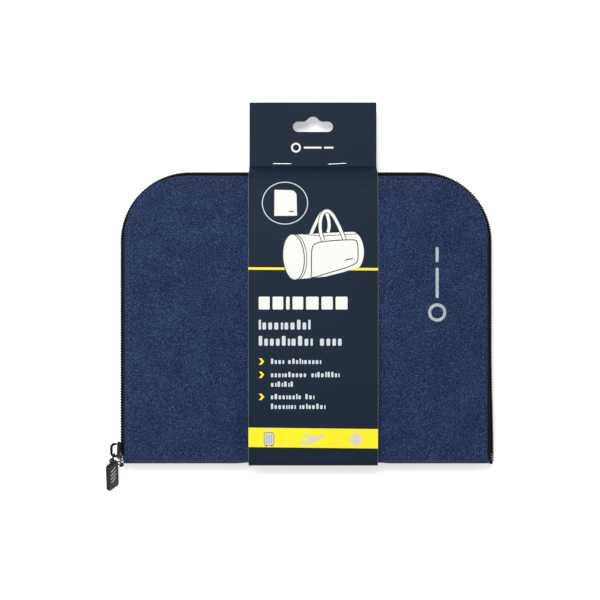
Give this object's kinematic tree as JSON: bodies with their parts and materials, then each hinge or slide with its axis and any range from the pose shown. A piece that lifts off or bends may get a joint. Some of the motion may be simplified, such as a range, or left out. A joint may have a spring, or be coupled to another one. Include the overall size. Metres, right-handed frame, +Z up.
{
  "type": "foldable carry-on bag packed in its zip pouch",
  "caption": "Foldable duffel packed in a flat zip-around pouch with a book-opening cover, zip slider and pull, wrapped by a stapled hang card.",
  "frame": {"origin": "under the middle of the pouch, on the surface that it lies on (the outer face of the hang card's back leaf)", "axes": "+X across the pouch with the zip slider at -X, +Y from the spine to the hang header, +Z up through the thickness from the back to the cover"},
  "size_m": [0.2601, 0.2622, 0.0306],
  "materials": {
    "shell_fabric": "navy melange with a suede-like face",
    "padding": "thin dark foam",
    "lining": "dark navy plain weave",
    "zip_tape": "black woven tape",
    "zip_coil": "black nylon coil",
    "black_metal": "black painted zinc",
    "pull_rubber": "matt black moulded rubber",
    "mark_film": "silver grey transfer film",
    "ripstop": "navy ripstop with a fine grid",
    "webbing": "navy woven webbing",
    "label": "blank woven label",
    "card": "printed dark slate board, satin",
    "staple_wire": "bright steel wire"
  },
  "bodies": {
    "pouch_back": {"back_panel": "shell_fabric", "back_stiffener": "padding", "back_lining": "lining", "rear_zip_tape": "zip_tape", "rear_coil": "zip_coil", "rear_binding": "zip_tape", "top_stop_rear": "black_metal", "bottom_stop": "black_metal", "bag_anchor_tape": "zip_tape", "bag_body_lower": "ripstop", "bag_end_left": "ripstop", "bag_end_right": "ripstop", "bag_body_middle": "ripstop", "trolley_sleeve": "ripstop", "bag_body_upper": "ripstop", "handle_front": "webbing", "handle_rear": "webbing", "handle_wrap": "webbing", "bag_zip_tape": "zip_tape", "bag_zip_slider": "black_metal", "bag_label": "label"},
    "spine": {"spine_panel": "shell_fabric", "spine_lining": "lining"},
    "cover": {"front_panel": "shell_fabric", "front_stiffener": "padding", "front_lining": "lining", "front_zip_tape": "zip_tape", "front_coil": "zip_coil", "front_binding": "zip_tape", "top_stop_front": "black_metal", "mark_ring": "mark_film", "mark_bar_long": "mark_film", "mark_bar_short": "mark_film"},
    "slider": {"slider_body": "black_metal"},
    "pull_link": {"pull_link": "black_metal"},
    "pull_tab": {"pull_tab": "pull_rubber"},
    "card_front": {"card_front": "card", "staple_left": "staple_wire", "staple_right": "staple_wire"},
    "card_bottom": {"card_bottom": "card"},
    "card_back": {"card_back": "card"}
  },
  "joints": [
    {"name": "spine_fold", "type": "hinge", "parent": "pouch_back", "child": "spine", "pos_m": [0, -0.098, 0.0008], "axis": [1, 0, 0], "range_deg": [0, 89]},
    {"name": "cover_fold", "type": "hinge", "parent": "spine", "child": "cover", "pos_m": [0, -0.098, 0.0268], "axis": [1, 0, 0], "range_deg": [0, 89]},
    {"name": "zip_slide", "type": "slide", "parent": "pouch_back", "child": "slider", "axis": [0, 1, 0], "range_m": [0, 0.13], "deforming": ["front_coil", "rear_coil"]},
    {"name": "pull_lift", "type": "hinge", "parent": "slider", "child": "pull_link", "pos_m": [-0.12942, -0.09305, 0.0138], "axis": [-0.9397, 0.342, 0], "range_deg": [0, 110]},
    {"name": "tab_swing", "type": "hinge", "parent": "pull_link", "child": "pull_tab", "pos_m": [-0.13065, -0.09644, 0.0138], "axis": [0, 0, -1], "range_deg": [0, 80]},
    {"name": "card_slide", "type": "slide", "parent": "pouch_back", "child": "card_back", "axis": [1, 0, 0], "range_m": [0, 0.165]},
    {"name": "card_bottom_slide", "type": "slide", "parent": "spine", "child": "card_bottom", "axis": [1, 0, 0], "range_m": [0, 0.165]},
    {"name": "card_front_slide", "type": "slide", "parent": "cover", "child": "card_front", "axis": [1, 0, 0], "range_m": [0, 0.165]}
  ],
  "couplings": [
    {"joint": "cover_fold", "follows": "spine_fold", "ratio": 1},
    {"joint": "card_bottom_slide", "follows": "card_slide", "ratio": 1},
    {"joint": "card_front_slide", "follows": "card_slide", "ratio": 1}
  ]
}
